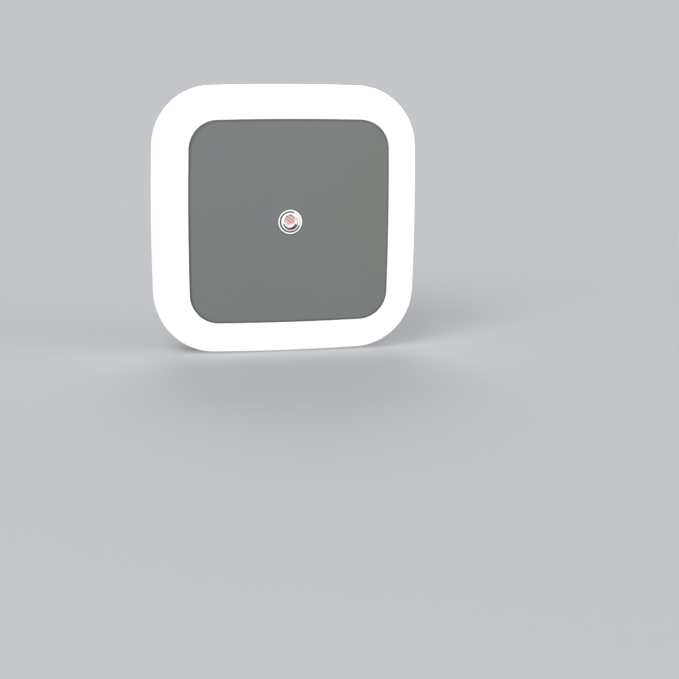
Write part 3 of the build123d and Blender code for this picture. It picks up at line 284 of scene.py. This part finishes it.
# --- Building materials --------------------------------------------------------------------------
class Nodes:
    """Short ways to add and join nodes in one material."""

    def __init__(self, name):
        self.material = bpy.data.materials.new(name)
        self.material.use_nodes = True
        self.tree = self.material.node_tree
        self.shader = self.tree.nodes["Principled BSDF"]
        self.output = self.tree.nodes["Material Output"]

    def add(self, kind, **settings):
        """A node, with its settings and the values of its sockets by name."""
        node = self.tree.nodes.new(kind)
        for key, value in settings.items():
            if hasattr(node, key):
                setattr(node, key, value)
            else:
                node.inputs[key.replace("_", " ")].default_value = value
        return node

    def join(self, output, socket):
        """Joins an output to a socket."""
        self.tree.links.new(output, socket)

    def set(self, name, value):
        """Gives one of the shader's sockets a constant value."""
        self.shader.inputs[name].default_value = value

    def drive(self, name, output):
        """Joins an output to one of the shader's sockets."""
        self.join(output, self.shader.inputs[name])

    def place(self, scale=(1, 1, 1)):
        """Object coordinates in metres, multiplied by a scale."""
        coordinates = self.add("ShaderNodeTexCoord")
        mapping = self.add("ShaderNodeMapping", Scale=scale)
        self.join(coordinates.outputs["Object"], mapping.inputs["Vector"])
        return mapping.outputs["Vector"]

    def split(self, vector):
        """A vector's parts, as outputs named X, Y and Z."""
        parts = self.add("ShaderNodeSeparateXYZ")
        self.join(vector, parts.inputs["Vector"])
        return parts.outputs

    def maths(self, operation, *values):
        """The result of a Math node on one or two values, each a number or an output."""
        node = self.add("ShaderNodeMath", operation=operation)
        for socket, value in zip(node.inputs, values):
            if isinstance(value, (int, float)):
                socket.default_value = value
            else:
                self.join(value, socket)
        return node.outputs["Value"]

    def from_middle(self, node):
        """Places across and up from the middle of a CAD node, in millimetres."""
        middle = middle_of(node)
        place = self.split(self.place())
        return [
            self.maths("MULTIPLY", self.maths("SUBTRACT", place[axis], start), 1 / MM)
            for axis, start in (("X", middle.x), ("Z", middle.z))
        ]

    def length(self, across, up):
        """The length of a way across and up."""
        squares = [self.maths("MULTIPLY", way, way) for way in (across, up)]
        return self.maths("SQRT", self.maths("ADD", *squares))

    def noise(self, scale, detail=4.0, stretch=(1, 1, 1)):
        """A noise value, with its scale in lumps per metre."""
        texture = self.add("ShaderNodeTexNoise", Scale=scale, Detail=detail)
        self.join(self.place(stretch), texture.inputs["Vector"])
        return texture.outputs["Fac"]

    def ramp(self, value, low, high, start=NOISE_LOW, end=NOISE_HIGH, ease="LINEAR"):
        """Goes from low to high as a value goes from start to end, and stays level outside them."""
        spread = self.add("ShaderNodeMapRange", interpolation_type=ease)
        spread.inputs["From Min"].default_value = start
        spread.inputs["From Max"].default_value = end
        spread.inputs["To Min"].default_value = low
        spread.inputs["To Max"].default_value = high
        self.join(value, spread.inputs["Value"])
        return spread.outputs["Result"]

    def step(self, value, start, end):
        """0 on the start's side and 1 on the end's, eased between them."""
        if start < end:
            return self.ramp(value, 0, 1, start, end, "SMOOTHSTEP")
        return self.ramp(value, 1, 0, end, start, "SMOOTHSTEP")

    def band(self, value, start, end, soft):
        """1 between two values, eased to 0 outside them."""
        rise = self.step(value, start - soft, start + soft)
        fall = self.step(value, end + soft, end - soft)
        return self.maths("MULTIPLY", rise, fall)

    def blend(self, value, first, second):
        """A colour between two, each given or from an output, by a value."""
        mix = self.add("ShaderNodeMix", data_type="RGBA")
        for name, colour in (("A", first), ("B", second)):
            socket = next(i for i in mix.inputs if i.name == name and i.type == "RGBA")
            if isinstance(colour, tuple):
                socket.default_value = colour
            else:
                self.join(colour, socket)
        self.join(value, mix.inputs["Factor"])
        return next(o for o in mix.outputs if o.type == "RGBA")

    def tint(self, value, colour, darker, lighter):
        """A colour between two shades of one, by a value."""
        return self.blend(value, linear(shade(colour, darker)), linear(shade(colour, lighter)))

    def bump(self, height, strength, distance):
        """Relief from a height value, its depth in metres."""
        relief = self.add("ShaderNodeBump", Strength=strength, Distance=distance)
        self.join(height, relief.inputs["Height"])
        self.drive("Normal", relief.outputs["Normal"])


def moulded_plastic(name, colour, roughness, coat=0.0):
    """A moulding with a fine spark-eroded texture and faint flow marks."""
    n = Nodes(name)
    flow = n.ramp(n.noise(FLOW_SCALE, detail=3.0), 0, 1)
    grain = n.noise(GRAIN_SCALE, detail=2.0)
    n.drive("Base Color", n.tint(flow, colour, 1 - FLOW_TINT, 1 + FLOW_TINT))
    n.drive("Roughness", n.ramp(grain, roughness - GRAIN_ROUGHNESS, roughness + GRAIN_ROUGHNESS))
    n.set("Coat Weight", coat)
    n.set("Coat Roughness", COAT_ROUGHNESS)
    n.bump(grain, GRAIN_STRENGTH, GRAIN_DEPTH)
    return n.material


def drawn_metal(name, colour, roughness, along=(1, 1, 1), wear=WEAR_TINT):
    """A metal with fine marks drawn out along one direction, and cloudy wear."""
    n = Nodes(name)
    marks = n.noise(MARK_SCALE, detail=3.0, stretch=along)
    cloud = n.ramp(n.noise(WEAR_SCALE), 0, 1)
    n.drive("Base Color", n.tint(cloud, colour, 1 - wear, 1 + wear))
    n.set("Metallic", 1.0)
    n.drive("Roughness", n.ramp(marks, roughness - MARK_SMOOTHER, roughness + MARK_ROUGHER))
    n.bump(marks, MARK_STRENGTH, MARK_DEPTH)
    return n.material


def glowing_diffuser(name):
    """Milky plastic lit from inside: even on the ring, weaker where the skirt meets the housing."""
    n = Nodes(name)
    low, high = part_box("diffuser")
    fall_start = low.y + EVEN_SHARE * (high.y - low.y)
    glow = n.ramp(n.split(n.place())["Y"], RING_GLOW, SEAM_GLOW, fall_start, high.y)
    haze = n.ramp(n.noise(HAZE_SCALE, detail=2.0), 1 - HAZE_TINT, 1 + HAZE_TINT)
    n.drive("Emission Strength", n.maths("MULTIPLY", glow, haze))
    n.set("Emission Color", linear(GLOW_WHITE))
    n.set("Base Color", linear(DIFFUSER_MILK))
    n.drive("Roughness", n.ramp(n.noise(MILK_ROUGHNESS_SCALE, detail=2.0), *MILK_ROUGHNESS))
    n.set("Subsurface Weight", MILK_SCATTER)
    n.set("Subsurface Scale", MILK_SCATTER_LENGTH)
    n.bump(n.noise(MILK_RELIEF_SCALE, detail=2.0), MILK_STRENGTH, MILK_DEPTH)
    return n.material


def sensor_lens_plastic(name):
    """Clear over the photocell; round it, painted light and shade: bright rims that glow and catch light,
    dark rings for the shadows in the outline and bevel groove, and a dark arc for a reflection.
    """
    n = Nodes(name)
    across, up = n.from_middle("sensor_lens")
    radius = n.length(across, up)

    def ring(radii):
        return n.band(radius, *radii, LENS_BLUR)

    def side(way, start, end):
        """0 to 1 on one side of the lens, as the cosine of the angle from a way goes from start to end."""
        towards = Vector(way).normalized()
        along = n.maths("ADD", n.maths("MULTIPLY", across, towards.x), n.maths("MULTIPLY", up, towards.y))
        return n.step(n.maths("DIVIDE", along, radius), start, end)

    # painted shade: dark rings for the shadows in the outline and groove, a dark arc for a reflection; the
    # rims outside them are painted light that glows
    outline_shadow = n.maths("MULTIPLY", ring(LENS_OUTLINE), OUTLINE_DARKNESS)
    shadow = n.maths("MAXIMUM", side(GROOVE_LIT_SIDE, *GROOVE_SHADOW), GROOVE_DARKNESS)
    groove_shadow = n.maths("MULTIPLY", ring(LENS_GROOVE), shadow)
    arc_reflection = n.maths("MULTIPLY", ring(LENS_ARC), side(ARC_SIDE, *ARC_ENDS))
    painted_dark = n.maths("MAXIMUM", n.maths("MAXIMUM", groove_shadow, outline_shadow), arc_reflection)
    speckled = n.maths("MULTIPLY", ring(LENS_SPECKS), side(SPECK_SIDE, *SPECK_ENDS))
    specks = n.maths("MULTIPLY", speckled, n.step(n.noise(SPECK_SCALE, detail=1.0), *SPECK_NOISE))
    outside = n.step(radius, LENS_WINDOW - LENS_BLUR, LENS_WINDOW + LENS_BLUR)
    opaque = n.maths("MAXIMUM", outside, n.maths("MAXIMUM", painted_dark, specks))
    lit_rims = n.maths("MULTIPLY", outside, n.maths("SUBTRACT", 1.0, painted_dark))
    tone = n.blend(specks, linear(LENS_LIT_WHITE), linear(LENS_ROSE))
    n.drive("Base Color", n.blend(painted_dark, tone, linear(LENS_SHADE_DARK)))
    n.drive("Transmission Weight", n.maths("SUBTRACT", 1.0, opaque))
    n.drive("Emission Strength", n.maths("MULTIPLY", lit_rims, LENS_GLOW))
    n.set("Emission Color", linear(LENS_LIT_WHITE))
    n.set("IOR", LENS_INDEX)
    n.drive("Roughness", n.ramp(n.noise(LENS_ROUGHNESS_SCALE, detail=2.0), *LENS_ROUGHNESS))
    n.bump(n.noise(LENS_RIPPLE_SCALE, detail=1.0), LENS_RIPPLE_STRENGTH, LENS_RIPPLE_DEPTH)
    return n.material


def lit_ceramic(name, colour, glow, metallic=0.0):
    """A photocell's surface with painted light: it glows as if lit through the lens in front of it, and a
    painted highlight washes it out to cream round its pink patch.
    """
    n = Nodes(name)
    across, up = n.from_middle("photocell_disc")
    patch_across, patch_up = PINK_PATCH
    patch = n.length(n.maths("SUBTRACT", across, patch_across), n.maths("SUBTRACT", up, patch_up))
    blotches = n.ramp(n.noise(BLOTCH_SCALE, detail=2.0), -BLOTCH_REACH, BLOTCH_REACH)
    highlight_wash = n.step(n.maths("ADD", patch, blotches), *PINK_RADII)
    grain = n.noise(CERAMIC_SCALE, detail=3.0)
    tone = n.tint(n.ramp(grain, 0, 1), colour, *CERAMIC_TINT)
    surface = n.blend(highlight_wash, tone, linear(SENSOR_CREAM))
    n.drive("Base Color", surface)
    n.drive("Emission Color", surface)
    n.set("Emission Strength", glow)
    n.set("Metallic", metallic)
    n.drive("Roughness", n.ramp(n.noise(CERAMIC_ROUGHNESS_SCALE), *CERAMIC_ROUGHNESS))
    n.bump(grain, CERAMIC_STRENGTH, CERAMIC_DEPTH)
    return n.material


def panel_plastic(name):
    """Satin white moulding painted grey for shade, with more painted shade round its rim and on its
    bevelled edge.
    """
    n = Nodes(name)
    low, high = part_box("front_panel")
    half = (high.x - low.x) / 2 / MM
    from_centre = n.from_middle("front_panel")
    across, up = (n.maths("ABSOLUTE", place) for place in from_centre)

    def past_corner(place, beside):
        """How far past the start of the rounded corners, with the side's bow taken out."""
        share = n.maths("DIVIDE", beside, half)
        bow = n.maths("MULTIPLY", n.maths("POWER", share, 2), PANEL_BOW)
        straight = n.maths("ADD", place, bow)
        return n.maths("MAXIMUM", n.maths("SUBTRACT", straight, half - PANEL_CORNER), 0)

    out = n.length(past_corner(across, up), past_corner(up, across))
    # painted shade: darker round the rim and on the bevelled edge
    rim_start, rim_full = PANEL_RIM
    rim = n.step(out, PANEL_CORNER - rim_start, PANEL_CORNER - rim_full)
    geometry = n.add("ShaderNodeNewGeometry")
    bevel_painted_shade = n.step(n.split(geometry.outputs["True Normal"])["Y"], *BEVEL_TURN)
    drift = n.ramp(n.noise(WARM_SCALE, detail=1.0), -WARM_DRIFT, WARM_DRIFT)
    warm = n.step(n.maths("ADD", from_centre[0], drift), 0, WARM_SHARE * half)
    tone = n.blend(warm, linear(PANEL_SHADED_GREY), linear(PANEL_SHADED_WARM))
    tone = n.blend(rim, tone, linear(shade(PANEL_SHADED_GREY, RIM_SHADE)))
    tone = n.blend(bevel_painted_shade, tone, linear(shade(PANEL_SHADED_GREY, BEVEL_SHADE)))
    n.drive("Base Color", tone)
    grain = n.noise(GRAIN_SCALE, detail=2.0)
    n.drive("Roughness", n.ramp(grain, *PANEL_ROUGHNESS))
    n.bump(grain, PANEL_STRENGTH, PANEL_DEPTH)
    return n.material


def circuit_board(name):
    """White solder mask with the faint weave of the glass cloth under it."""
    n = Nodes(name)
    threads = []
    for direction in ("X", "Z"):
        wave = n.add(
            "ShaderNodeTexWave", Scale=WEAVE_SCALE, Distortion=WEAVE_DISTORTION, bands_direction=direction
        )
        n.join(n.place(), wave.inputs["Vector"])
        threads.append(wave.outputs["Fac"])
    weave = n.maths("MULTIPLY", *threads)
    n.drive("Base Color", n.blend(weave, linear(MASK_LOW), linear(MASK_HIGH)))
    n.drive("Roughness", n.ramp(n.noise(MASK_SCALE), *MASK_ROUGHNESS))
    n.bump(weave, WEAVE_STRENGTH, WEAVE_DEPTH)
    return n.material


# --- Materials of the CAD nodes ------------------------------------------------------------------
tinned = drawn_metal("tinned_copper", TIN_GREY, roughness=0.3, along=ALONG_LEAD)
plated = drawn_metal("plated_brass", PLATING_GREY, roughness=0.24, along=ALONG_BLADE, wear=BLADE_WEAR_TINT)
zinc = drawn_metal("zinc_steel", ZINC_GREY, roughness=0.3)
epoxy = moulded_plastic("black_epoxy", EPOXY_BLACK, roughness=0.5)

NODE_MATERIALS = {
    "rear_housing": moulded_plastic("housing_plastic", HOUSING_WHITE, roughness=0.34),
    "diffuser": glowing_diffuser("diffuser_plastic"),
    "front_panel": panel_plastic("panel_plastic"),
    "sensor_lens": sensor_lens_plastic("lens_plastic"),
    "sensor_sleeve": moulded_plastic("black_plastic", SLEEVE_BLACK, roughness=0.6),
    "photocell_disc": lit_ceramic("sensor_ceramic", SENSOR_CREAM, glow=1.0),
    "photocell_electrodes": lit_ceramic("electrode_metal", ELECTRODE_PINK, glow=0.9, metallic=0.3),
    "photocell_track": lit_ceramic("sensor_track", TRACK_ROSE, glow=0.85),
    "photocell_leads": tinned,
    "neutral_blade": plated,
    "live_blade": plated,
    "blade_retainer": moulded_plastic("retainer_plastic", RETAINER_CREAM, roughness=0.5),
    "retainer_screws": zinc,
    "board_screws": zinc,
    "led_board": circuit_board("board_mask"),
    "led_packages": moulded_plastic("led_body", LED_WHITE, roughness=0.35),
    "led_phosphors": moulded_plastic("led_phosphor", PHOSPHOR_YELLOW, roughness=0.4),
    "dropper_capacitor": moulded_plastic("film_capacitor_case", FILM_BROWN, roughness=0.28, coat=0.3),
    "dropper_leads": tinned,
    "filter_capacitor_can": drawn_metal("can_aluminium", ALUMINIUM_GREY, roughness=0.28),
    "filter_capacitor_sleeve": moulded_plastic("capacitor_sleeve", CAN_NAVY, roughness=0.3, coat=0.3),
    "filter_capacitor_bung": moulded_plastic("bung_rubber", BUNG_BLACK, roughness=0.7),
    "filter_capacitor_leads": tinned,
    "fusible_resistor": moulded_plastic("resistor_coating", RESISTOR_GREEN, roughness=0.5),
    "fusible_resistor_leads": tinned,
    "zener_diode": moulded_plastic("zener_glass", ZENER_AMBER, roughness=0.15, coat=0.5),
    "zener_diode_leads": tinned,
    "bridge_rectifier": epoxy,
    "rectifier_pins": tinned,
    "transistor": epoxy,
    "transistor_legs": tinned,
    "chip_resistors": moulded_plastic("chip_body", CHIP_BLACK, roughness=0.35),
    "chip_resistor_caps": tinned,
    "neutral_wire_core": drawn_metal("bare_copper", COPPER_RED, roughness=0.3),
    "live_wire_core": drawn_metal("bare_copper_live", COPPER_RED, roughness=0.3),
    "neutral_wire_jacket": moulded_plastic("white_insulation", WIRE_WHITE, roughness=0.4),
    "live_wire_jacket": moulded_plastic("black_insulation", WIRE_BLACK, roughness=0.4),
    "solder_joints": drawn_metal("solder", SOLDER_GREY, roughness=0.25),
}


# --- Rounded edges of the two shells -------------------------------------------------------------
def skin_past(form, level, towards):
    """The outer faces of a shell past a level in Y, up to the first sharp bend."""

    def past(face):
        return all((v.co.y - level) * towards > -SAME for v in face.verts)

    outermost = max(filter(past, form.faces), key=lambda face: face.calc_center_median().x)
    skin = {outermost}
    fresh = [outermost]
    while fresh:
        for edge in fresh.pop().edges:
            for face in edge.link_faces:
                if face not in skin and past(face) and edge.calc_face_angle() < SHARP_ANGLE:
                    skin.add(face)
                    fresh.append(face)
    return skin


def cut_open(node, level, towards):
    """A node's form without its skin past a level, the open edges on that level, and the others."""
    form = bmesh.new()
    form.from_mesh(nodes[node].data)
    bmesh.ops.remove_doubles(form, verts=form.verts, dist=SAME)
    bmesh.ops.delete(form, geom=list(skin_past(form, level, towards)), context="FACES")
    open_edges = [edge for edge in form.edges if edge.is_boundary]
    on_level = [edge for edge in open_edges if all(abs(v.co.y - level) < SAME for v in edge.verts)]
    return form, on_level, [edge for edge in open_edges if edge not in on_level]


def in_order(edges):
    """The vertices of one closed loop of edges, one after the other."""
    left = set(edges[1:])
    loop = list(edges[0].verts)
    while left:
        edge = next(e for e in loop[-1].link_edges if e in left)
        left.remove(edge)
        loop.append(edge.other_vert(loop[-1]))
    return loop[:-1]


def outward(before, here, after, middle):
    """The level direction out of a loop at one of its points."""
    arrive = here - before
    leave = after - here
    along = arrive / arrive.length_squared + leave / leave.length_squared
    side = Vector((along.z, 0, -along.x)).normalized()
    return side if side.dot(here - middle) > 0 else -side


def grow_round(form, loop, middle, radius, towards, steps):
    """Adds a quarter round to a loop, in strips, and returns the edges of its inner end."""
    starts = [v.co.copy() for v in loop]
    afters = starts[1:] + starts[:1]
    sides = [outward(starts[i - 1], here, afters[i], middle) for i, here in enumerate(starts)]
    for step in range(1, steps + 1):
        turn = math.pi / 2 * step / steps
        inset = radius * (1 - math.cos(turn))
        rise = Vector((0, towards * radius * math.sin(turn), 0))
        ring = [form.verts.new(start - inset * side + rise) for start, side in zip(starts, sides)]
        for i in range(len(ring)):
            form.faces.new((loop[i - 1], loop[i], ring[i], ring[i - 1]))
        loop = ring
    return [form.edges.get((loop[i - 1], loop[i])) for i in range(len(loop))]


def rounded_shell(node, face, radius, towards, steps):
    """A CAD shell whose conical bands, from its widest level to a flat face in Y, become a true round."""
    form, base, hole = cut_open(node, face - towards * radius, towards)
    rim = grow_round(form, in_order(base), middle_of(node), radius, towards, steps)
    bmesh.ops.triangle_fill(form, edges=rim + hole, use_beauty=True)
    bmesh.ops.recalc_face_normals(form, faces=form.faces)
    name = node + "_shell"
    piece = new_object(name, as_mesh(name, form))
    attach(piece, "root")
    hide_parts(node)
    return piece


# --- Small edge rounds and shading ---------------------------------------------------------------
def weld(piece):
    """Joins a piece's faces where they meet, so that modifiers see whole edges."""
    joined = piece.modifiers.new("weld", "WELD")
    joined.merge_threshold = SAME


def bevel(piece, width):
    """Rounds a piece's sharp edges."""
    rounded = piece.modifiers.new("round_edges", "BEVEL")
    rounded.width = width
    rounded.segments = EDGE_STEPS
    rounded.limit_method = "ANGLE"
    rounded.angle_limit = SMOOTH_ANGLE


def smooth(piece):
    """Smooth shading over gentle bends, with flat faces kept flat and sharp edges kept sharp."""
    for polygon in piece.data.polygons:
        polygon.use_smooth = True
    split = piece.modifiers.new("edge_split", "EDGE_SPLIT")
    split.split_angle = SMOOTH_ANGLE
    flatten = piece.modifiers.new("flat_faces", "WEIGHTED_NORMAL")
    flatten.keep_sharp = True


# --- Camera --------------------------------------------------------------------------------------
def photograph_camera():
    """The camera at the photograph's place and angle."""
    forward = Vector(
        (
            math.sin(CAMERA_YAW) * math.cos(CAMERA_PITCH),
            math.cos(CAMERA_YAW) * math.cos(CAMERA_PITCH),
            math.sin(CAMERA_PITCH),
        )
    )
    level_right = forward.cross(Vector((0, 0, 1))).normalized()
    level_up = level_right.cross(forward)
    right = math.cos(CAMERA_ROLL) * level_right + math.sin(CAMERA_ROLL) * level_up
    up = -math.sin(CAMERA_ROLL) * level_right + math.cos(CAMERA_ROLL) * level_up
    data = bpy.data.cameras.new("photo_camera")
    data.sensor_width = SENSOR_WIDTH
    data.lens = FOCAL_PIXELS / IMAGE_SIDE * SENSOR_WIDTH
    data.clip_start = CLIP_NEAR
    data.clip_end = CLIP_FAR
    camera = new_object("photo_camera", data)
    turned = Matrix((right, up, -forward)).transposed().to_4x4()
    camera.matrix_world = Matrix.Translation(CAMERA_PLACE) @ turned
    bpy.context.scene.camera = camera


# --- Floor, surroundings and lamps ---------------------------------------------------------------
def camera_like_rays(tree):
    """1 for rays that should see the background: camera, glossy and transmission rays."""
    path = tree.nodes.new("ShaderNodeLightPath")
    seen = path.outputs["Is Camera Ray"]
    for name in ("Is Glossy Ray", "Is Transmission Ray"):
        either = tree.nodes.new("ShaderNodeMath")
        either.operation = "MAXIMUM"
        tree.links.new(seen, either.inputs[0])
        tree.links.new(path.outputs[name], either.inputs[1])
        seen = either.outputs["Value"]
    return seen


def mixed_shader(tree, share, first, second):
    """A shader between two, by the second's share."""
    mix = tree.nodes.new("ShaderNodeMixShader")
    for output, socket in zip((share, first, second), mix.inputs):
        tree.links.new(output, socket)
    return mix.outputs["Shader"]


def floor_paper():
    """Pale paper that fades into the background with the distance from the object."""
    n = Nodes("floor_paper")
    n.set("Base Color", linear(FLOOR_GREY))
    n.set("Roughness", FLOOR_ROUGHNESS)
    distance = n.add("ShaderNodeVectorMath", operation="LENGTH")
    n.join(n.place(), distance.inputs[0])
    far = n.step(distance.outputs["Value"], FADE_START, FADE_END)
    faded = n.maths("MULTIPLY", far, camera_like_rays(n.tree))
    plain = n.add("ShaderNodeEmission", Color=linear(BACKGROUND_GREY))
    paper = mixed_shader(n.tree, faded, n.shader.outputs["BSDF"], plain.outputs["Emission"])
    n.join(paper, n.output.inputs["Surface"])
    return n.material


def plain_floor():
    """A pale floor under the object."""
    form = bmesh.new()
    bmesh.ops.create_grid(form, x_segments=1, y_segments=1, size=FLOOR_HALF)
    floor = new_object("floor", as_mesh("floor", form))
    floor.location.z = cad_box[0].z
    floor.data.materials.append(floor_paper())


def plain_world():
    """Even surroundings that light softly and look like the floor's far end."""
    world = bpy.data.worlds.new("surroundings")
    world.use_nodes = True
    tree = world.node_tree
    light = tree.nodes["Background"]
    light.inputs["Color"].default_value = (1, 1, 1, 1)
    light.inputs["Strength"].default_value = WORLD_STRENGTH
    seen = tree.nodes.new("ShaderNodeBackground")
    seen.inputs["Color"].default_value = linear(BACKGROUND_GREY)
    both = (light.outputs["Background"], seen.outputs["Background"])
    surroundings = mixed_shader(tree, camera_like_rays(tree), *both)
    tree.links.new(surroundings, tree.nodes["World Output"].inputs["Surface"])
    bpy.context.scene.world = world


def soft_lamp(name, place, aim, size, power):
    """A square area lamp at a place, aimed at a point."""
    data = bpy.data.lights.new(name, "AREA")
    data.size = size
    data.energy = power
    lamp = new_object(name, data)
    lamp.location = place
    lamp.rotation_mode = "QUATERNION"
    lamp.rotation_quaternion = (aim - Vector(place)).to_track_quat("-Z", "Y")


# --- Scene: two rounded shells stand in for their CAD nodes --------------------------------------
pieces = dict(nodes)
pieces["diffuser"] = rounded_shell(
    "diffuser", RING_FACE, RING_RADIUS, TO_FRONT, RING_STEPS
)
pieces["rear_housing"] = rounded_shell(
    "rear_housing", BACK_FACE, BACK_RADIUS, TO_BACK, BACK_STEPS
)

for name, piece in pieces.items():
    piece.data.materials.clear()
    piece.data.materials.append(NODE_MATERIALS[name])
    weld(piece)
    if name in EDGE_ROUNDS:
        bevel(piece, EDGE_ROUNDS[name])
    smooth(piece)

photograph_camera()
plain_floor()
plain_world()
body_centre = (cad_box[0] + cad_box[1]) / 2
for name, (place, size, power) in LAMPS.items():
    soft_lamp(name, place, body_centre, size, power)

bpy.context.scene.view_settings.view_transform = "Standard"
